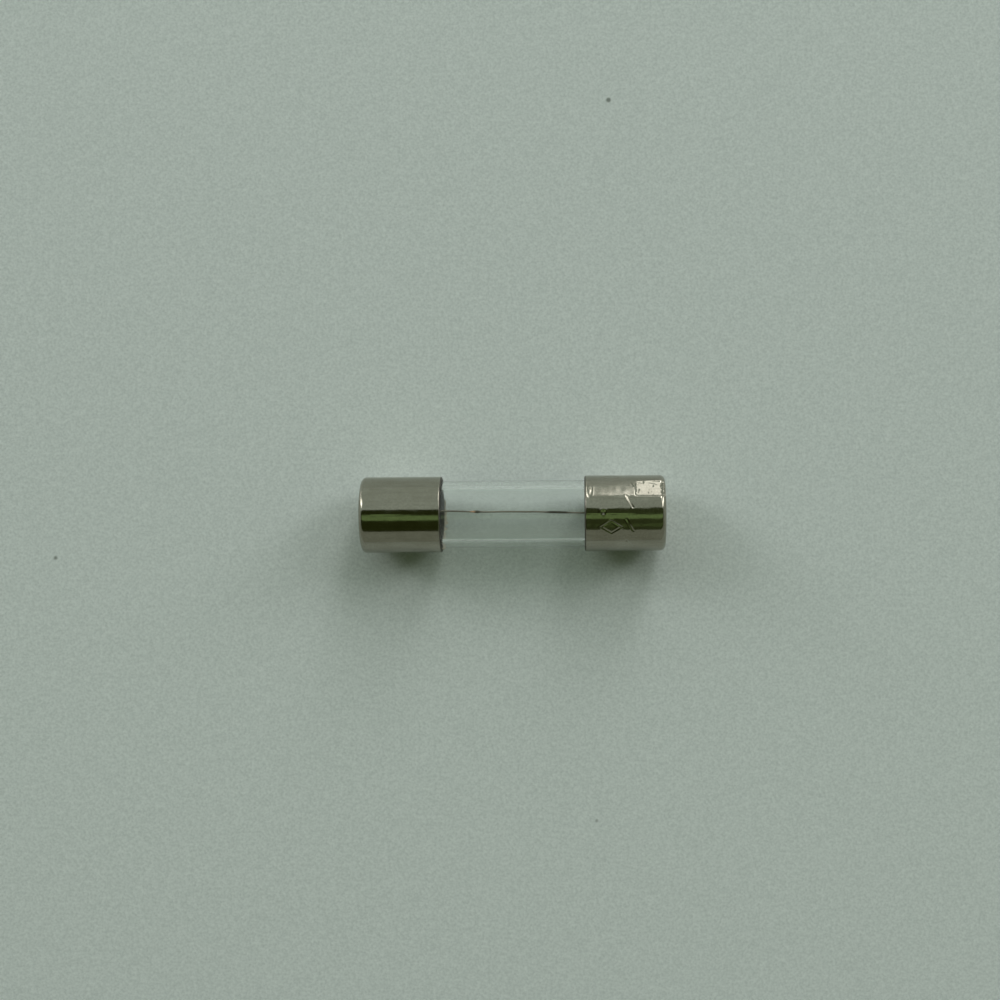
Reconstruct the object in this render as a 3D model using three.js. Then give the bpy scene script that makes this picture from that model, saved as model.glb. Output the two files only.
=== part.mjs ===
// A miniature glass cartridge fuse, 5 x 20 mm size.
//
// Units are millimetres and +Z is up. The origin is the middle of the fuse, on its axis. The axis
// is X, and the fuse lies on its side, so its lowest flats face -Z.
//
// A clear glass tube carries a drawn metal cap on each end. Cement holds each cap on the glass, and
// solder in the bottom of each cap holds one end of the fusible wire, which runs down the bore.

import * as THREE from 'three';

// Driving dimensions
const overallLength = 20.4;
const capDiameter = 5.1;
const capLength = 5.42;
const capWall = 0.225;
const capEndThickness = 0.25;
const capEndRadius = 0.38;
const capInsideRadius = 0.18;

const glassDiameter = 4.5;
const glassBore = 3.4;
const glassEdgeRadius = 0.18;

const solderFloorThickness = 0.35;
const solderFloorDiameter = 3.9;
const solderPlugDepth = 0.5;
const solderPlugDome = 0.5;
// How the plug's dome rises from its rim: [share of the plug's radius, share of the dome's height].
const solderDomeShape = [[0.5, 0.75], [0.85, 0.25]];

const wireDiameter = 0.11;
const wireHoleDiameter = 0.18;
const wireEndInset = 0.35;

const cementDepth = 2.4;
const cementFillet = 0.12;

const fitGap = 0.01;

// Round pieces are turned from this many flats, and one flat faces straight down to rest on.
const flatsRound = 32;
const arcSteps = 4;
const wireSides = 8;
const wireSteps = 36;

// Places that follow from the driving dimensions
const endFace = overallLength / 2;
const capMouth = endFace - capLength;
const capFloor = endFace - capEndThickness;
const capOuterRadius = capDiameter / 2;
const capInnerRadius = capOuterRadius - capWall;
const glassOuterRadius = glassDiameter / 2;
const glassInnerRadius = glassBore / 2;
const glassEnd = capFloor - solderFloorThickness;

const toRight = -Math.PI / 2;
const toLeft = Math.PI / 2;

const materials = {
  nickel: { color: 0xb9b4a6, roughness: 0.22, metalness: 1.0 },
  glass: { color: 0xdfe8e2, roughness: 0.05, metalness: 0.0, transparent: true, opacity: 0.3 },
  solder: { color: 0x9a9a96, roughness: 0.4, metalness: 1.0 },
  wire: { color: 0x6b665a, roughness: 0.35, metalness: 1.0 },
  cement: { color: 0xb9a988, roughness: 0.7, metalness: 0.0 },
};

function material(slot) {
  return new THREE.MeshStandardMaterial(materials[slot]);
}

// Points of a quarter arc about (r, y), from one angle to another in degrees.
function arc(r, y, radius, fromDegrees, toDegrees) {
  const points = [];
  for (let step = 0; step <= arcSteps; step += 1) {
    const degrees = fromDegrees + ((toDegrees - fromDegrees) * step) / arcSteps;
    const angle = THREE.MathUtils.degToRad(degrees);
    points.push([r + radius * Math.cos(angle), y + radius * Math.sin(angle)]);
  }
  return points;
}

// A solid of revolution whose flats, not its corners, lie at the outline's radii. The outline is
// [radius, distance along the axis], anticlockwise.
function turned(outline) {
  const toCorner = 1 / Math.cos(Math.PI / flatsRound);
  const points = outline.map(([r, y]) => new THREE.Vector2(r * toCorner, y));
  return new THREE.LatheGeometry(points, flatsRound, Math.PI / flatsRound);
}

function closed(outline) {
  return [...outline, outline[0]];
}

// A drawn cup: flat end, rounded corner, straight barrel and a rounded lip at its mouth.
function capGeometry() {
  const lip = capWall / 2;
  const lipCentre = capOuterRadius - lip;
  const outsideCorner = [capOuterRadius - capEndRadius, endFace - capEndRadius];
  const insideCorner = [capInnerRadius - capInsideRadius, capFloor - capInsideRadius];
  return turned([
    [0, capFloor],
    ...arc(...insideCorner, capInsideRadius, 90, 0),
    ...arc(lipCentre, capMouth + lip, lip, 180, 270),
    ...arc(lipCentre, capMouth + lip, lip, 270, 360).slice(1),
    ...arc(...outsideCorner, capEndRadius, 0, 90),
    [0, endFace],
  ]);
}

// A plain tube with rounded, fire-polished edges.
function glassGeometry() {
  const edge = glassEdgeRadius;
  const outside = glassOuterRadius - edge;
  const inside = glassInnerRadius + edge;
  return turned(closed([
    ...arc(outside, -glassEnd + edge, edge, -90, 0),
    ...arc(outside, glassEnd - edge, edge, 0, 90),
    ...arc(inside, glassEnd - edge, edge, 90, 180),
    ...arc(inside, -glassEnd + edge, edge, 180, 270),
  ]));
}

// Solder on the floor of the cap, with a domed plug that reaches into the bore and a hole in which
// the wire sits.
function solderGeometry() {
  const floorTop = capFloor - fitGap;
  const floorBottom = glassEnd + fitGap;
  const plugRadius = glassInnerRadius - fitGap;
  const plugBottom = glassEnd - solderPlugDepth;
  const hole = wireHoleDiameter / 2;
  return turned(closed([
    [hole, plugBottom - solderPlugDome],
    ...solderDomeShape.map(([out, up]) => [plugRadius * out, plugBottom - solderPlugDome * up]),
    [plugRadius, plugBottom],
    [plugRadius, floorBottom],
    [solderFloorDiameter / 2, floorBottom],
    [solderFloorDiameter / 2, floorTop],
    [hole, floorTop],
  ]));
}

// A film of cement between cap and glass, with a small fillet of squeezed-out cement at the mouth.
function cementGeometry() {
  const inside = glassOuterRadius + fitGap;
  const outside = capInnerRadius - fitGap;
  return turned(closed([
    [inside, capMouth - cementFillet],
    [outside, capMouth],
    [outside, capMouth + cementDepth],
    [inside, capMouth + cementDepth],
  ]));
}

// The fusible wire: straight where the solder holds it, and a little off the axis between.
function wireGeometry() {
  const end = endFace - wireEndInset;
  const free = glassEnd - solderPlugDepth - solderPlugDome;
  const route = new THREE.CatmullRomCurve3([
    new THREE.Vector3(-end, 0, 0),
    new THREE.Vector3(-free, 0, 0),
    new THREE.Vector3(-4.4, 0.22, -0.06),
    new THREE.Vector3(-2.5, 0.16, -0.1),
    new THREE.Vector3(0.1, 0.15, -0.12),
    new THREE.Vector3(3, 0.1, -0.08),
    new THREE.Vector3(4.5, 0.05, -0.04),
    new THREE.Vector3(free, 0, 0),
    new THREE.Vector3(end, 0, 0),
  ]);
  const section = new THREE.Shape();
  for (let side = 0; side < wireSides; side += 1) {
    const angle = (2 * Math.PI * side) / wireSides;
    const x = (wireDiameter / 2) * Math.cos(angle);
    const y = (wireDiameter / 2) * Math.sin(angle);
    if (side === 0) section.moveTo(x, y);
    else section.lineTo(x, y);
  }
  section.closePath();
  return new THREE.ExtrudeGeometry(section, {
    steps: wireSteps,
    bevelEnabled: false,
    extrudePath: route,
  });
}

function piece(name, geometry, slot, turn = 0) {
  const mesh = new THREE.Mesh(geometry, material(slot));
  mesh.name = name;
  mesh.rotation.z = turn;
  return mesh;
}

// One end of the fuse: its cap, the cement under the cap and the solder in it.
function terminal(side, turn) {
  const group = new THREE.Group();
  group.add(piece(`end_cap_${side}`, capGeometry(), 'nickel', turn));
  group.add(piece(`cap_cement_${side}`, cementGeometry(), 'cement', turn));
  group.add(piece(`solder_${side}`, solderGeometry(), 'solder', turn));
  return group;
}

const fuse = new THREE.Group();
fuse.add(piece('glass_tube', glassGeometry(), 'glass', toRight));
fuse.add(piece('fuse_wire', wireGeometry(), 'wire'));
fuse.add(terminal('left', toLeft));
fuse.add(terminal('right', toRight));

export default fuse;
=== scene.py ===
"""The looks of a miniature glass cartridge fuse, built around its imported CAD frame.

Lengths are metres in the frame's own axes. The fuse's axis is X, +Z is up, and the fuse lies on
its side on the floor. Angles round the fuse are measured from +Z towards +Y.
"""

import math

import bpy
import numpy as np
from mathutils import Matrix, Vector

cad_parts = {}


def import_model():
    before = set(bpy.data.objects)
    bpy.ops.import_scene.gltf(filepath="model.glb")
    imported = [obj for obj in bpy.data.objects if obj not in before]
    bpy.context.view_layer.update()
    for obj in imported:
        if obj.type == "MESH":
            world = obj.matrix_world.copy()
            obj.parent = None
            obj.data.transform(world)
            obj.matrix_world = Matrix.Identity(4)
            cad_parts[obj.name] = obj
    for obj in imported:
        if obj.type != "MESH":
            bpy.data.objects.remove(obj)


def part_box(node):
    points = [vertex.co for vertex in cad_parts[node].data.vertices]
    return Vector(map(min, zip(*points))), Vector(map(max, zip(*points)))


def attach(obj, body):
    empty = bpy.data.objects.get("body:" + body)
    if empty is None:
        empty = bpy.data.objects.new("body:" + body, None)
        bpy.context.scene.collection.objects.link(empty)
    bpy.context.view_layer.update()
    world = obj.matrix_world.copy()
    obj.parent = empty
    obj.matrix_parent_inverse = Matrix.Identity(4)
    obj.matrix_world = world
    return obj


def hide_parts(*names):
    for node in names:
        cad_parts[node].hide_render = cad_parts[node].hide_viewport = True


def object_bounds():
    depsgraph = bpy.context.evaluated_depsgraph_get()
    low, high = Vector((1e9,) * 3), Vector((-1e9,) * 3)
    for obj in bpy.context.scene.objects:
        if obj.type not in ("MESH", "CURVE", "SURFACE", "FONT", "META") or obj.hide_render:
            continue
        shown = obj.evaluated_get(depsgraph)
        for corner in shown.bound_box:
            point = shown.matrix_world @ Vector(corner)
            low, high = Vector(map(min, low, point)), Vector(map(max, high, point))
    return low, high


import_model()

CAD_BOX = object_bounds()
MM = 0.001
BODY = "root"

# Sizes and places that the frame gives
CAP_LOW, CAP_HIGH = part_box("end_cap_right")
CAP_END = CAP_HIGH.x
CAP_MOUTH = CAP_LOW.x
CAP_RADIUS = CAP_HIGH.y
GLASS_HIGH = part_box("glass_tube")[1]
GLASS_END = GLASS_HIGH.x
GLASS_RADIUS = GLASS_HIGH.y
CEMENT_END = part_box("cap_cement_right")[1].x
WIRE_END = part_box("fuse_wire")[1].x
SOLDER_LOW, SOLDER_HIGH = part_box("solder_right")
FLOOR_Z = CAD_BOX[0].z

# Sizes inside the pieces, as the CAD source has them
CAP_WALL = 0.225 * MM
CAP_FLOOR = 0.25 * MM
CAP_CORNER = 0.38 * MM
CAP_INSIDE_CORNER = 0.18 * MM
GLASS_BORE_RADIUS = 1.7 * MM
GLASS_EDGE = 0.18 * MM
SOLDER_DOME = 0.5 * MM
WIRE_RADIUS = 0.055 * MM
FIT_GAP = 0.01 * MM

# How far back from its rim the cap's mouth starts to curl in
LIP_LENGTH = 0.13 * MM

# Where the wire carries a solder nodule, and the thicker stretch that is painted dark as a painted
# reflection
NODULE = -2.46 * MM
DARK_STRETCH = (2.2 * MM, 3.75 * MM)


# ---------------------------------------------------------------- meshes


def arc(x, r, radius, start, end, steps):
    """Points [along the axis, radius] of an arc about (x, r), between two angles in degrees."""
    angles = [math.radians(start + (end - start) * i / steps) for i in range(steps + 1)]
    return [[x + radius * math.cos(a), r + radius * math.sin(a)] for a in angles]


def line(x0, r0, x1, r1, steps):
    """Points along a straight stretch, without its two ends."""
    return [[x0 + (x1 - x0) * i / steps, r0 + (r1 - r0) * i / steps] for i in range(1, steps)]


def mesh_object(name, points, faces):
    """A smooth-shaded mesh in the scene."""
    mesh = bpy.data.meshes.new(name)
    mesh.from_pydata(points, [], faces)
    mesh.validate()
    mesh.update()
    mesh.polygons.foreach_set("use_smooth", [True] * len(mesh.polygons))
    piece = bpy.data.objects.new(name, mesh)
    bpy.context.scene.collection.objects.link(piece)
    return piece


def turned(name, outline, sides, flip=False, shape=None, crowding=0.0):
    """A solid of revolution about X. The outline is a closed loop, or starts and ends on the axis.

    shape(x, angle, r) may move the points before they are placed, crowding packs the sides closer
    towards the top, and flip turns the solid end for end.
    """
    on_axis = outline[0][1] == 0
    rings = outline[1:-1] if on_axis else outline
    x, r = np.array(rings).T
    angle = 2 * math.pi * np.arange(sides) / sides
    angle = angle - crowding * np.sin(angle)
    x, angle = np.meshgrid(x, angle, indexing="ij")
    r = np.repeat(r[:, None], sides, axis=1)
    if shape:
        x, r = shape(x, angle, r)
    points = np.stack([x, r * np.sin(angle), r * np.cos(angle)], axis=-1).reshape(-1, 3)
    rows = len(rings)
    low = np.arange(rows - 1 if on_axis else rows)[:, None] * sides
    high = (low + sides) % (rows * sides)
    here = np.arange(sides)[None, :]
    there = (here + 1) % sides
    quads = np.stack([low + here, high + here, high + there, low + there], axis=-1)
    faces = quads.reshape(-1, 4).tolist()
    if on_axis:
        first, last = len(points), len(points) + 1
        points = np.vstack([points, [outline[0][0], 0, 0], [outline[-1][0], 0, 0]])
        top = (rows - 1) * sides
        faces += [[first, i, (i + 1) % sides] for i in range(sides)]
        faces += [[last, top + (i + 1) % sides, top + i] for i in range(sides)]
    if flip:
        points = points * [-1, -1, 1]
    return mesh_object(name, points.tolist(), faces)


def swept(name, path, radii, sides):
    """A closed round rod along a path of points, with its own radius at each."""
    along = np.gradient(path, axis=0)
    along /= np.linalg.norm(along, axis=1)[:, None]
    across = np.cross(along, [0, 0, 1.0])
    across /= np.linalg.norm(across, axis=1)[:, None]
    up = np.cross(across, along)
    turn = 2 * math.pi * np.arange(sides) / sides
    ring = across[:, None] * np.cos(turn)[None, :, None] + up[:, None] * np.sin(turn)[None, :, None]
    points = (path[:, None] + ring * radii[:, None, None]).reshape(-1, 3)
    faces = []
    for low in range(0, (len(path) - 1) * sides, sides):
        for here in range(sides):
            there = (here + 1) % sides
            faces.append([low + here, low + there, low + sides + there, low + sides + here])
    last = (len(path) - 1) * sides
    faces += [list(range(sides))[::-1], list(range(last, last + sides))]
    return mesh_object(name, points.tolist(), faces)


def ripple(seed, wavelength, count=14):
    """A smooth random surface over two lengths, about 1 high, made of waves near one wavelength."""
    dice = np.random.default_rng(seed)
    heading = dice.uniform(0, 2 * math.pi, count)
    number = 2 * math.pi / (wavelength * dice.uniform(0.7, 1.6, count))
    phase = dice.uniform(0, 2 * math.pi, count)

    def height(u, v):
        total = np.zeros(np.broadcast(u, v).shape)
        for h, k, p in zip(heading, number, phase):
            total += np.sin(k * (math.cos(h) * u + math.sin(h) * v) + p)
        return total / math.sqrt(count / 2)

    return height


def smooth(value, start, end):
    """0 before start, 1 after end and a smooth rise between. start may be the larger."""
    t = np.clip((value - start) / (end - start), 0, 1)
    return t * t * (3 - 2 * t)


def hump(value, width):
    """1 where the value is 0, falling off smoothly to both sides."""
    return np.exp(-((value / width) ** 2))


def place(piece, node, material):
    """The piece stands for that CAD node, with that finish."""
    piece.data.materials.append(material)
    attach(piece, BODY)
    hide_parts(node)


# ---------------------------------------------------------------- materials


def new_material(name):
    """A material, its nodes and links, and its Principled shader."""
    material = bpy.data.materials.new(name)
    material.use_nodes = True
    tree = material.node_tree
    return material, tree.nodes, tree.links, tree.nodes["Principled BSDF"]


def ramp(nodes, links, source, stops):
    """A colour ramp driven by a socket. stops are (place, colour)."""
    node = nodes.new("ShaderNodeValToRGB")
    elements = node.color_ramp.elements
    for element, (position, color) in zip(elements, stops):
        element.position = position
        element.color = (*color, 1)
    links.new(source, node.inputs["Fac"])
    return node.outputs["Color"]


def grey(value):
    return (value, value, value)


def object_space(nodes):
    return nodes.new("ShaderNodeTexCoord").outputs["Object"]


def mapped(nodes, links, stretch=(1, 1, 1)):
    """The object's own space, stretched along its axes."""
    mapping = nodes.new("ShaderNodeMapping")
    mapping.inputs["Scale"].default_value = stretch
    links.new(object_space(nodes), mapping.inputs["Vector"])
    return mapping.outputs["Vector"]


def noise_on(nodes, links, scale, detail=2.0, rough=0.5, stretch=(1, 1, 1)):
    texture = nodes.new("ShaderNodeTexNoise")
    texture.inputs["Scale"].default_value = scale
    texture.inputs["Detail"].default_value = detail
    texture.inputs["Roughness"].default_value = rough
    links.new(mapped(nodes, links, stretch), texture.inputs["Vector"])
    return texture.outputs["Fac"]


def tinted(nodes, links, color, factor, other):
    """A colour, or one from a socket, mixed with another by a factor."""
    mix = nodes.new("ShaderNodeMix")
    mix.data_type = "RGBA"
    links.new(factor, mix.inputs["Factor"])
    links.new(color, mix.inputs["A"])
    mix.inputs["B"].default_value = (*other, 1)
    return mix.outputs["Result"]


def bump_on(nodes, links, shader, height, distance):
    """Roughens the shader's surface by a height socket, which spans that distance."""
    bump = nodes.new("ShaderNodeBump")
    bump.inputs["Distance"].default_value = distance
    links.new(height, bump.inputs["Height"])
    links.new(bump.outputs["Normal"], shader.inputs["Normal"])


def along_axis(nodes, links):
    """How far along the fuse's axis a point is."""
    split = nodes.new("ShaderNodeSeparateXYZ")
    links.new(object_space(nodes), split.inputs["Vector"])
    return split.outputs["X"]


def share_of(nodes, links, value, start, end):
    """0 where the value is start, 1 where it is end. start may be the larger."""
    share = nodes.new("ShaderNodeMapRange")
    share.inputs["From Min"].default_value = start
    share.inputs["From Max"].default_value = end
    links.new(value, share.inputs["Value"])
    return share.outputs["Result"]


def from_middle(nodes, links, start, end):
    """0 where a point is start away from the fuse's middle along its axis, 1 where it is end away."""
    off_middle = nodes.new("ShaderNodeMath")
    off_middle.operation = "ABSOLUTE"
    links.new(along_axis(nodes, links), off_middle.inputs[0])
    return share_of(nodes, links, off_middle.outputs["Value"], start, end)


def band_on(nodes, links, start, end, fade):
    """1 between two places along the fuse's axis and 0 outside them, with soft ends."""
    x = along_axis(nodes, links)
    both = nodes.new("ShaderNodeMath")
    both.operation = "MULTIPLY"
    links.new(share_of(nodes, links, x, start - fade, start + fade), both.inputs[0])
    links.new(share_of(nodes, links, x, end + fade, end - fade), both.inputs[1])
    return both.outputs["Value"]


def nickel_material():
    """Nickel plating, warm and mirror-like, with draw lines, tarnish and a dull rim in painted shade.
    """
    material, nodes, links, shader = new_material("nickel_plating")
    shader.inputs["Metallic"].default_value = 1.0
    tarnish = noise_on(nodes, links, 900, detail=4)
    color = ramp(nodes, links, tarnish, [(0.3, (0.36, 0.335, 0.275)), (0.7, (0.41, 0.385, 0.325))])
    mottle = noise_on(nodes, links, 8000, detail=3, rough=0.6)
    flecks = ramp(nodes, links, mottle, [(0.4, grey(0.0)), (0.65, grey(0.32))])
    color = tinted(nodes, links, color, flecks, (0.23, 0.215, 0.17))
    drawn = noise_on(nodes, links, 4200, detail=3, stretch=(0.12, 1, 1))
    streaks = ramp(nodes, links, drawn, [(0.45, grey(0.0)), (0.7, grey(0.35))])
    color = tinted(nodes, links, color, streaks, (0.25, 0.23, 0.185))
    # The mouth's rim is made rough, and its colour is darkened there as painted shade.
    mouth = from_middle(nodes, links, CAP_MOUTH + LIP_LENGTH * 0.8, CAP_MOUTH + LIP_LENGTH * 0.5)
    color = tinted(nodes, links, color, mouth, (0.13, 0.12, 0.1))
    links.new(color, shader.inputs["Base Color"])
    smudge = noise_on(nodes, links, 1500, detail=5)
    rough = ramp(nodes, links, smudge, [(0.35, grey(0.08)), (0.75, grey(0.16))])
    links.new(tinted(nodes, links, rough, mouth, grey(0.5)), shader.inputs["Roughness"])
    grain = noise_on(nodes, links, 4000, detail=3, stretch=(0.15, 1, 1))
    bump_on(nodes, links, shader, grain, 0.001 * MM)
    return material


# How much of the room's light each face of the glass lets through onto what lies under it
GLASS_PASSES = (0.9, 0.91, 0.9)


def glass_material():
    """Clear glass. Light for the floor goes straight through it, a little weaker at each face."""
    material, nodes, links, shader = new_material("clear_glass")
    shader.inputs["Base Color"].default_value = (0.97, 0.985, 0.975, 1)
    shader.inputs["Roughness"].default_value = 0.0
    shader.inputs["IOR"].default_value = 1.52
    shader.inputs["Transmission Weight"].default_value = 0.98
    straight = nodes.new("ShaderNodeBsdfTransparent")
    straight.inputs["Color"].default_value = (*GLASS_PASSES, 1)
    path = nodes.new("ShaderNodeLightPath")
    last = shader.outputs["BSDF"]
    for ray in ("Is Shadow Ray", "Is Diffuse Ray"):
        mix = nodes.new("ShaderNodeMixShader")
        links.new(path.outputs[ray], mix.inputs["Fac"])
        links.new(last, mix.inputs[1])
        links.new(straight.outputs["BSDF"], mix.inputs[2])
        last = mix.outputs["Shader"]
    links.new(last, nodes["Material Output"].inputs["Surface"])
    return material


def wire_material():
    """Drawn, patchily oxidised metal: painted dark reflection and shade, and an orange painted glint by
    the nodule.
    """
    material, nodes, links, shader = new_material("fuse_wire_metal")
    shader.inputs["Metallic"].default_value = 0.6
    stain = noise_on(nodes, links, 420, detail=3)
    color = ramp(nodes, links, stain, [(0.4, (0.2, 0.175, 0.13)), (0.62, (0.34, 0.31, 0.25))])
    # The thick stretch is painted near black, as a painted reflection of dark surroundings.
    dark_stretch = band_on(nodes, links, DARK_STRETCH[0], DARK_STRETCH[1], 0.25 * MM)
    color = tinted(nodes, links, color, dark_stretch, (0.06, 0.055, 0.035))
    # The nodule is painted dark, as painted shade on the bead.
    nodule = band_on(nodes, links, NODULE - 0.2 * MM, NODULE + 0.25 * MM, 0.08 * MM)
    color = tinted(nodes, links, color, nodule, (0.11, 0.1, 0.07))
    # An orange metal tint beside the nodule, painted bright as a painted glint.
    copper_glint = band_on(nodes, links, NODULE - 0.42 * MM, NODULE - 0.15 * MM, 0.08 * MM)
    color = tinted(nodes, links, color, copper_glint, (0.85, 0.5, 0.3))
    links.new(color, shader.inputs["Base Color"])
    shader.inputs["Roughness"].default_value = 0.4
    scratch = noise_on(nodes, links, 9000, detail=2, stretch=(0.1, 1, 1))
    bump_on(nodes, links, shader, scratch, 0.002 * MM)
    return material


def solder_material():
    """Dull, frosty solder with brighter, smoother patches."""
    material, nodes, links, shader = new_material("solder_metal")
    shader.inputs["Metallic"].default_value = 1.0
    patch = noise_on(nodes, links, 1800, detail=4)
    color = ramp(nodes, links, patch, [(0.3, (0.46, 0.46, 0.45)), (0.7, (0.66, 0.66, 0.64))])
    links.new(color, shader.inputs["Base Color"])
    rough = ramp(nodes, links, patch, [(0.3, grey(0.5)), (0.7, grey(0.3))])
    links.new(rough, shader.inputs["Roughness"])
    bump_on(nodes, links, shader, patch, 0.02 * MM)
    return material


def cement_material():
    """Gritty beige cement, painted near black as painted shade where it lies inside the cap."""
    material, nodes, links, shader = new_material("cap_cement")
    grit = noise_on(nodes, links, 6000, detail=4)
    color = ramp(nodes, links, grit, [(0.3, (0.6, 0.54, 0.42)), (0.7, (0.8, 0.74, 0.62))])
    # Inside the cap the cement is painted near black, as painted shade in the gap.
    inside = from_middle(nodes, links, CAP_MOUTH - 0.04 * MM, CAP_MOUTH + 0.05 * MM)
    color = tinted(nodes, links, color, inside, (0.022, 0.02, 0.013))
    links.new(color, shader.inputs["Base Color"])
    shader.inputs["Roughness"].default_value = 0.7
    shader.inputs["Specular IOR Level"].default_value = 0.2
    bump_on(nodes, links, shader, grit, 0.01 * MM)
    return material


def floor_material():
    """Pale grey-green tabletop: fine mottled grain, a satin gloss and a few tiny dark specks."""
    material, nodes, links, shader = new_material("pale_tabletop")
    grain = noise_on(nodes, links, 5600, detail=3, rough=0.7)
    dim, pale = (0.69, 0.755, 0.73), (0.92, 0.985, 0.955)
    color = ramp(nodes, links, grain, [(0.3, dim), (0.7, pale)])
    cells = nodes.new("ShaderNodeTexVoronoi")
    cells.inputs["Scale"].default_value = 110
    links.new(mapped(nodes, links), cells.inputs["Vector"])
    speck = ramp(nodes, links, cells.outputs["Distance"], [(0.012, grey(1.0)), (0.022, grey(0.0))])
    links.new(tinted(nodes, links, color, speck, (0.3, 0.33, 0.3)), shader.inputs["Base Color"])
    shader.inputs["Roughness"].default_value = 0.32
    bump_on(nodes, links, shader, grain, 0.004 * MM)
    return material


NICKEL = nickel_material()
GLASS = glass_material()
SOLDER = solder_material()
CEMENT = cement_material()
WIRE = wire_material()


# ---------------------------------------------------------------- glass tube


def glass_outline():
    """The tube's wall, a closed loop whose four edges are fire-polished round."""
    outer = GLASS_RADIUS - GLASS_EDGE
    inner = GLASS_BORE_RADIUS + GLASS_EDGE
    end = GLASS_END - GLASS_EDGE
    outline = arc(-end, outer, GLASS_EDGE, 180, 90, 10)
    outline += line(-end, GLASS_RADIUS, end, GLASS_RADIUS, 60)
    outline += arc(end, outer, GLASS_EDGE, 90, 0, 10)
    outline += arc(end, inner, GLASS_EDGE, 0, -90, 10)
    outline += line(end, GLASS_BORE_RADIUS, -end, GLASS_BORE_RADIUS, 60)
    outline += arc(-end, inner, GLASS_EDGE, 270, 180, 10)
    return outline


def glass_body():
    place(turned("glass_body", glass_outline(), 192), "glass_tube", GLASS)


# ---------------------------------------------------------------- end caps

# The end face: a shallow dish, which starts at its rim, and a faint groove round it
DISH_DEPTH = 0.03 * MM
DISH_RIM = 1.7 * MM
DISH_FLOOR = 1.2 * MM
GROOVE_DEPTH = 0.012 * MM
GROOVE_RADIUS = 1.78 * MM
GROOVE_WIDTH = 0.06 * MM

# The plain marks struck round the right cap
GIRTH = 2 * math.pi * CAP_RADIUS
STROKE = 0.055 * MM
STAMP_DEPTH = 0.022 * MM
LOZENGES = 4
LOZENGE_X = CAP_MOUTH + 1.77 * MM
LOZENGE_HALF_LENGTH = 0.66 * MM
LOZENGE_HALF_WIDTH = 0.44 * MM
DOT_X = CAP_MOUTH + 1.24 * MM
DOT_RADIUS = 0.13 * MM
TICKS = 10
TICK_X = CAP_MOUTH + 3.0 * MM
TICK_HALF_LENGTH = 0.4 * MM
TICK_SLANT = 0.5

# The stretch that the die has pressed flatter, towards the right cap's closed end
FLAT_START = CAP_MOUTH + 3.37 * MM
FLAT_END = CAP_END - 0.3 * MM
FLAT_ANGLE = math.radians(42.5)
FLAT_HALF_ANGLE = math.radians(14.5)
FLAT_SHARE = 0.7
FLAT_LEAN = math.radians(2.5)
FLAT_FALL = math.radians(2.2)
FLAT_RUB = 0.0025 * MM

# The oval ring beside the right cap's mouth, where the tool has held it
PINCH_X = CAP_MOUTH + 0.31 * MM
PINCH_ANGLE = math.radians(41)
PINCH_HALF_WIDTH = 0.17 * MM
PINCH_HALF_LENGTH = 0.58 * MM
PINCH_DEPTH = 0.013 * MM


def cap_outline(rows):
    """The cup's outline, from the middle of its inside floor round the lip to the outside's middle."""
    inside = CAP_RADIUS - CAP_WALL
    floor = CAP_END - CAP_FLOOR
    corner = CAP_INSIDE_CORNER
    rim = CAP_WALL * 0.25
    outline = [[floor, 0], [floor, inside * 0.4], [floor, inside * 0.8]]
    outline += arc(floor - corner, inside - corner, corner, 90, 0, 8)[::-1]
    outline += line(floor - corner, inside, CAP_MOUTH + rim, inside, 12)
    outline += arc(CAP_MOUTH + rim, inside + rim, rim, 270, 180, 6)
    for i in range(1, 17):
        a = math.radians(90 * i / 16)
        curl = (CAP_WALL - rim) * (1 - math.sin(a))
        outline.append([CAP_MOUTH + LIP_LENGTH * (1 - math.cos(a)), CAP_RADIUS - curl])
    outline += line(CAP_MOUTH + LIP_LENGTH, CAP_RADIUS, CAP_END - CAP_CORNER, CAP_RADIUS, rows)
    outline += arc(CAP_END - CAP_CORNER, CAP_RADIUS - CAP_CORNER, CAP_CORNER, 90, 0, 20)
    face = CAP_RADIUS - CAP_CORNER
    outline += [[CAP_END, face * (1 - i / 16)] for i in range(1, 16)]
    outline += [[CAP_END, 0]]
    return outline


def outside_of_cap(x, r):
    """1 on the cap's outer skin, 0 inside the cup and on the rim of its mouth."""
    skin = smooth(r, CAP_RADIUS - 0.2 * MM, CAP_RADIUS - 0.05 * MM)
    return skin * smooth(x, CAP_MOUTH + 0.08 * MM, CAP_MOUTH + 0.2 * MM)


def end_dish(x, r):
    """How far in the end face lies: its dish, and the groove that the press leaves round that."""
    on_face = smooth(x, CAP_END - 0.01 * MM, CAP_END)
    dish = DISH_DEPTH * smooth(r, DISH_RIM, DISH_FLOOR)
    return on_face * (dish + GROOVE_DEPTH * hump(r - GROOVE_RADIUS, GROOVE_WIDTH))


def drawn_cap(seed, wave, orange_peel, stamps=None):
    """Shape of a pressed cap: a little out of round, rippled, dished, and stamped if asked."""
    slow = ripple(seed, 2.4 * MM)
    fast = ripple(seed + 1, 0.42 * MM)

    def shape(x, angle, r):
        arc_length = CAP_RADIUS * angle
        swell = wave * slow(x * 0.5, arc_length) + orange_peel * fast(x * 0.6, arc_length) - wave
        if stamps is not None:
            swell = swell + stamps(x, angle)
        return x - end_dish(x, r), r + outside_of_cap(x, r) * swell

    return shape


def struck(distance, width=STROKE):
    """Height of a struck line at a distance from its middle: a groove with a low burr on each side."""
    burr = hump(np.abs(distance) - 1.7 * width, 0.6 * width)
    return 0.25 * burr - hump(distance, width)


def round_the_cap(angle, first, count):
    """Distance round the cap from the nearest of some evenly spaced marks."""
    pitch = GIRTH / count
    return (CAP_RADIUS * angle - first + pitch / 2) % pitch - pitch / 2


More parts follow.
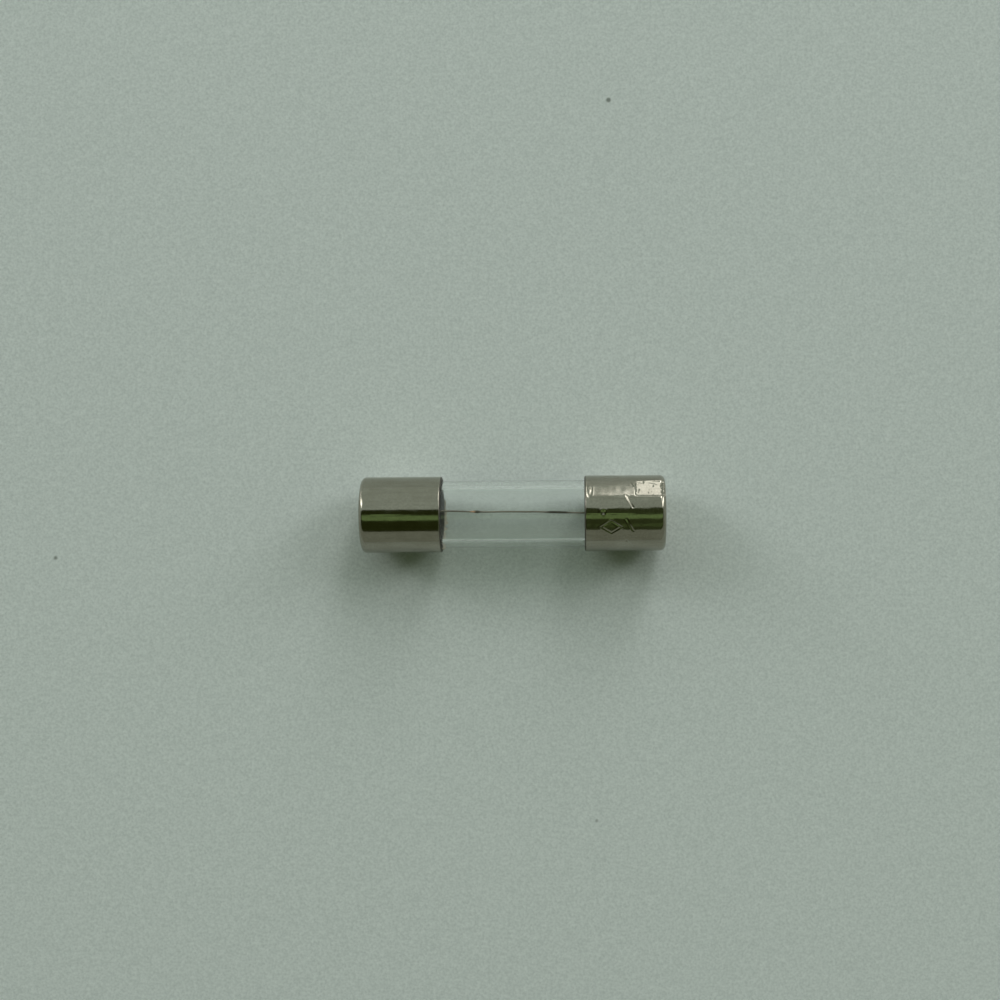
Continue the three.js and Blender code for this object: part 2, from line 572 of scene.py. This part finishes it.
def plain_stamps(x, angle):
    """Plain marks round the cap: lozenges with a dot beside each, and a row of slanting ticks."""
    across = x - LOZENGE_X
    along = round_the_cap(angle, -0.92 * MM, LOZENGES)
    long, wide = LOZENGE_HALF_LENGTH, LOZENGE_HALF_WIDTH
    off_edge = (np.abs(across) / long + np.abs(along) / wide - 1) / math.hypot(1 / long, 1 / wide)
    height = struck(off_edge)
    off_dot = np.hypot(x - DOT_X, round_the_cap(angle, 0.08 * MM, LOZENGES))
    height = height + 1.4 * struck(off_dot, DOT_RADIUS)
    along = round_the_cap(angle, -0.8 * MM, TICKS)
    across = x - TICK_X + TICK_SLANT * along
    past_end = np.maximum(np.abs(along) - TICK_HALF_LENGTH, 0)
    height = height + struck(np.hypot(across * 0.8, past_end))
    return STAMP_DEPTH * height


def pressed_flat(x, angle):
    """A stretch on the +Y side whose arc is pressed towards its chord. It leans and falls a little."""
    rub = ripple(61, 0.45 * MM)
    half = FLAT_HALF_ANGLE
    off_middle = angle - FLAT_ANGLE
    where = smooth(x, FLAT_START - 0.05 * MM, FLAT_START + 0.1 * MM)
    where = where * smooth(np.abs(off_middle), half + 0.03, half - 0.03)
    under_arc = 1 - math.cos(half) / np.cos(np.clip(off_middle, -half, half))
    chord = FLAT_SHARE * CAP_RADIUS * under_arc
    lean = CAP_RADIUS * (half - off_middle) * math.tan(FLAT_LEAN)
    fall = (np.clip(x, FLAT_START, FLAT_END) - FLAT_START) * math.tan(FLAT_FALL)
    return where * (FLAT_RUB * rub(x, CAP_RADIUS * angle) - chord - lean - fall)


def pinch_mark(x, angle):
    """A shallow oval ring, struck broader than the marks."""
    across = (x - PINCH_X) / PINCH_HALF_WIDTH
    along = CAP_RADIUS * (angle - PINCH_ANGLE) / PINCH_HALF_LENGTH
    off_ring = (np.hypot(across, along) - 1) * PINCH_HALF_WIDTH
    return PINCH_DEPTH * struck(off_ring, 0.06 * MM)


def stamped_side(x, angle):
    """How far all the marks raise or sink the right cap's barrel."""
    near = (angle + math.pi) % (2 * math.pi) - math.pi
    return plain_stamps(x, near) + pressed_flat(x, near) + pinch_mark(x, near)


def end_caps():
    stamped = drawn_cap(11, 0.002 * MM, 0.0007 * MM, stamped_side)
    right = turned("cap_shell_right", cap_outline(150), 360, shape=stamped, crowding=0.5)
    place(right, "end_cap_right", NICKEL)
    plain = drawn_cap(5, 0.0015 * MM, 0.0002 * MM)
    left = turned("cap_shell_left", cap_outline(90), 288, flip=True, shape=plain)
    place(left, "end_cap_left", NICKEL)


# ---------------------------------------------------------------- cement

# The middle of the stretch of the mouth where the cement has run out, on the lower side
RUN_ANGLE = math.radians(150)


def cement_outline():
    """The cement between cap and glass, from a round bead in the mouth to its depth."""
    inner = GLASS_RADIUS + FIT_GAP
    outer = CAP_RADIUS - CAP_WALL - FIT_GAP
    bead = (outer - inner) / 2
    front = CAP_MOUTH + 0.06 * MM + bead
    outline = arc(front, (inner + outer) / 2, bead, 270, 90, 12)
    outline += line(front, outer, CEMENT_END, outer, 10)
    outline += [[CEMENT_END, outer], [CEMENT_END, inner]]
    outline += line(CEMENT_END, inner, front, inner, 10)
    return outline


def squeezed(seed, most, start, full):
    """Shape of a bead that has run out of the mouth by about most.

    start and full are the cosines of the angles off the run's middle where it starts and is full.
    """
    lump = ripple(seed, 0.5 * MM)

    def shape(x, angle, r):
        at_front = smooth(x, CAP_MOUTH + 0.25 * MM, CAP_MOUTH + 0.05 * MM)
        reach = most * smooth(np.cos(angle - RUN_ANGLE), start, full)
        out = reach * (0.8 + 0.2 * lump(GLASS_RADIUS * angle, r))
        heap = 0.045 * MM * (out > 0) * smooth(out, 0, 0.2 * MM)
        high = smooth(r, GLASS_RADIUS + FIT_GAP, GLASS_RADIUS + 0.06 * MM)
        return x - at_front * out * (1 - 0.45 * high), r + at_front * high * heap

    return shape


def cements():
    left_run = squeezed(21, 0.26 * MM, 0.25, 0.6)
    left = turned("cement_bead_left", cement_outline(), 256, flip=True, shape=left_run)
    place(left, "cap_cement_left", CEMENT)
    right_run = squeezed(22, 0.05 * MM, 0.5, 0.9)
    right = turned("cement_bead_right", cement_outline(), 256, shape=right_run)
    place(right, "cap_cement_right", CEMENT)


# ---------------------------------------------------------------- solder


def solder_outline():
    """Solder on the cap's floor, with a domed plug up the bore that climbs the wire."""
    low, top, rim = SOLDER_LOW.x, SOLDER_HIGH.x, SOLDER_HIGH.y
    face = GLASS_END + FIT_GAP
    plug = GLASS_BORE_RADIUS - FIT_GAP
    collar = WIRE_RADIUS * 2
    outline = [[low - 0.15 * MM, 0], [low - 0.12 * MM, WIRE_RADIUS * 1.6]]
    for i in range(15):
        a = math.radians(90 * i / 14)
        rise = SOLDER_DOME * (1 - math.cos(a)) ** 0.8
        outline.append([low + rise, collar + (plug - collar) * math.sin(a)])
    outline += line(low + SOLDER_DOME, plug, face, plug, 4)
    outline += [[face, plug], *line(face, plug, face, rim, 3), [face, rim]]
    outline += line(face, rim, top, rim, 3)
    outline += [[top, rim], [top, rim / 2], [top, 0]]
    return outline


def solders():
    for side, flip, seed in (("right", False, 31), ("left", True, 41)):
        lump = ripple(seed, 1.1 * MM)

        def shape(x, angle, r, lump=lump):
            free = smooth(x, GLASS_END - 0.3 * MM, GLASS_END - 0.6 * MM)
            off_wire = smooth(r, WIRE_RADIUS * 2, 0.5 * MM)
            off_glass = smooth(r, GLASS_BORE_RADIUS, GLASS_BORE_RADIUS - 0.2 * MM)
            height = 0.07 * MM * lump(r * np.cos(angle), r * np.sin(angle))
            return x + free * off_wire * off_glass * height, r

        piece = turned(f"solder_fill_{side}", solder_outline(), 96, flip=flip, shape=shape)
        place(piece, f"solder_{side}", SOLDER)


# ---------------------------------------------------------------- wire

# The wire's route between its ends, in millimetres
WIRE_ROUTE = [
    (-8.6, 0, 0), (-6.6, 0.12, -0.03), (-4.4, 0.22, -0.06), (-2.5, 0.16, -0.1), (0.1, 0.15, -0.12),
    (3, 0.1, -0.08), (4.5, 0.05, -0.04), (6.6, 0.02, -0.01), (8.6, 0, 0),
]


def catmull_rom(points, steps):
    """A smooth path through the points, with this many steps between each two."""
    ends = [2 * points[0] - points[1], *points, 2 * points[-1] - points[-2]]
    path = []
    for before, a, b, after in zip(ends, ends[1:], ends[2:], ends[3:]):
        for i in range(steps):
            t = i / steps
            square = (2 * before - 5 * a + 4 * b - after) * t * t
            cube = (3 * a - before - 3 * b + after) * t ** 3
            path.append(0.5 * (2 * a + (b - before) * t + square + cube))
    return np.array([*path, points[-1]])


def wire_radius(x):
    nodule = 0.7 * np.exp(-(((x - NODULE) / (0.2 * MM)) ** 4))
    dark_stretch = smooth(x, DARK_STRETCH[0], DARK_STRETCH[0] + 0.3 * MM) * smooth(x, DARK_STRETCH[1], DARK_STRETCH[1] - 0.3 * MM)
    return WIRE_RADIUS * (1 + nodule + 0.4 * dark_stretch)


def wire():
    route = [(-WIRE_END, 0, 0), *np.array(WIRE_ROUTE) * MM, (WIRE_END, 0, 0)]
    path = catmull_rom([np.array(point) for point in route], 24)
    kink = ripple(51, 1.7 * MM)
    free = smooth(np.abs(path[:, 0]), 8.2 * MM, 7.4 * MM)
    path[:, 1] += free * 0.006 * MM * kink(path[:, 0], 0)
    path[:, 2] += free * 0.006 * MM * kink(path[:, 0], 5 * MM)
    piece = swept("fusible_wire", path, wire_radius(path[:, 0]), 16)
    place(piece, "fuse_wire", WIRE)


glass_body()
end_caps()
cements()
solders()
wire()


# ---------------------------------------------------------------- stage

FLOOR_SIZE = 8.0
CARD_HEIGHT = 0.64
WINDOW_DISTANCE = 2.4

# The camera looks straight down, over a point right of the fuse's middle. Its height is above the
# fuse's axis, where VIEW_WIDTH is how much it sees. The roll is in degrees.
CAMERA_HEIGHT = 127 * MM
CAMERA_X = 4.67 * MM
CAMERA_Y = 0.9 * MM
CAMERA_ROLL = -0.46
CAMERA_SHIFT = -0.0828
VIEW_WIDTH = 67.34 * MM
SENSOR = 36.0


def floor():
    half = FLOOR_SIZE / 2
    corners = [(x, y, FLOOR_Z) for x, y in ((-half, -half), (half, -half), (half, half), (-half, half))]
    plane = mesh_object("floor", corners, [(0, 1, 2, 3)])
    plane.data.materials.append(floor_material())


def glowing(name, corners, color):
    """An evenly glowing sheet of the stage that the camera doesn't see."""
    sheet = mesh_object(name, corners, [(0, 1, 2, 3)])
    material = bpy.data.materials.new(name)
    material.use_nodes = True
    nodes = material.node_tree.nodes
    nodes.clear()
    glow = nodes.new("ShaderNodeEmission")
    glow.inputs["Color"].default_value = (*color, 1)
    output = nodes.new("ShaderNodeOutputMaterial")
    material.node_tree.links.new(glow.outputs["Emission"], output.inputs["Surface"])
    sheet.data.materials.append(material)
    sheet.visible_camera = False
    return sheet


def card(name, center, size, color, lights_floor=True):
    """A card over the fuse, which its metal mirrors. One that doesn't light the floor lies lower."""
    (x, y), w, d = center, size[0] / 2, size[1] / 2
    z = CARD_HEIGHT + (0.001 if lights_floor else 0)
    corners = [(x - w, y - d, z), (x - w, y + d, z), (x + w, y + d, z), (x + w, y - d, z)]
    glowing(name, corners, color).visible_diffuse = lights_floor


def low_shade():
    """A black screen that keeps the low light from -Y off the floor, and that nothing mirrors."""
    y, w = -0.6, 2.0
    corners = [(-w, y, FLOOR_Z), (w, y, FLOOR_Z), (w, y, CARD_HEIGHT), (-w, y, CARD_HEIGHT)]
    screen = glowing("low_shade", corners, grey(0.0))
    screen.visible_glossy = False
    screen.visible_transmission = False


def window(name, direction, size, radiance):
    """A soft rectangular light that faces the fuse from that direction, unseen through the glass."""
    data = bpy.data.lights.new(name, "AREA")
    data.shape = "RECTANGLE"
    data.size, data.size_y = size
    data.energy = radiance * math.pi * size[0] * size[1]
    light = bpy.data.objects.new(name, data)
    bpy.context.scene.collection.objects.link(light)
    toward = Vector(direction).normalized()
    light.location = toward * WINDOW_DISTANCE
    light.rotation_euler = toward.to_track_quat("Z", "Y").to_euler()
    light.visible_camera = False
    light.visible_transmission = False


def world():
    """Even room light, brighter on the +Y side, and a plain pale background behind the floor."""
    room = bpy.data.worlds.new("room")
    bpy.context.scene.world = room
    room.use_nodes = True
    nodes, links = room.node_tree.nodes, room.node_tree.links
    nodes.clear()
    where = nodes.new("ShaderNodeTexCoord")
    split = nodes.new("ShaderNodeSeparateXYZ")
    links.new(where.outputs["Generated"], split.inputs["Vector"])
    side = share_of(nodes, links, split.outputs["Y"], -0.3, 0.3)
    glow = ramp(nodes, links, side, [(0.0, (0.24, 0.27, 0.22)), (1.0, (0.43, 0.5, 0.45))])
    lit = nodes.new("ShaderNodeBackground")
    links.new(glow, lit.inputs["Color"])
    seen = nodes.new("ShaderNodeBackground")
    seen.inputs["Color"].default_value = (0.34, 0.40, 0.355, 1)
    path = nodes.new("ShaderNodeLightPath")
    mix = nodes.new("ShaderNodeMixShader")
    links.new(path.outputs["Is Camera Ray"], mix.inputs["Fac"])
    links.new(lit.outputs["Background"], mix.inputs[1])
    links.new(seen.outputs["Background"], mix.inputs[2])
    output = nodes.new("ShaderNodeOutputWorld")
    links.new(mix.outputs["Shader"], output.inputs["Surface"])


def camera():
    data = bpy.data.cameras.new("camera")
    data.sensor_width = SENSOR
    data.lens = SENSOR * CAMERA_HEIGHT / VIEW_WIDTH
    data.clip_start = 0.001
    data.clip_end = 10
    data.shift_x = CAMERA_SHIFT
    cam = bpy.data.objects.new("camera", data)
    bpy.context.scene.collection.objects.link(cam)
    cam.location = (CAMERA_X, CAMERA_Y, CAMERA_HEIGHT)
    cam.rotation_euler = (0, 0, math.radians(CAMERA_ROLL))
    bpy.context.scene.camera = cam


def stage():
    bpy.context.scene.view_settings.view_transform = "Standard"
    floor()
    world()
    camera()
    card("dark_card_left", (-0.6, -0.31), (1.2, 0.98), (0.028, 0.036, 0.009))
    card("dark_card_right", (0.5, -0.31), (1.0, 0.98), (0.05, 0.068, 0.025))
    card("green_card", (0, -0.11), (1.32, 0.16), (0.2, 0.305, 0.122), lights_floor=False)
    card("dim_green_card", (0.34, -0.48), (0.64, 0.18), (0.09, 0.132, 0.048), lights_floor=False)
    low_shade()
    window("left_window", (-0.78, 0.48, 0.38), (0.6, 1.4), 3.5)
    window("right_window", (0.74, 0.46, 0.46), (0.6, 1.46), 3.4)
    window("back_window", (0.3, 0.88, 0.5), (0.5, 1.3), 4.4)
    window("dim_back_window", (0.11, 0.99, 0.3), (0.36, 1.46), 1.5)
    window("high_left_window", (-0.6, 0.58, 0.66), (0.8, 0.8), 0.6)
    window("high_right_window", (0.42, 0.62, 0.66), (0.8, 0.8), 0.6)


stage()
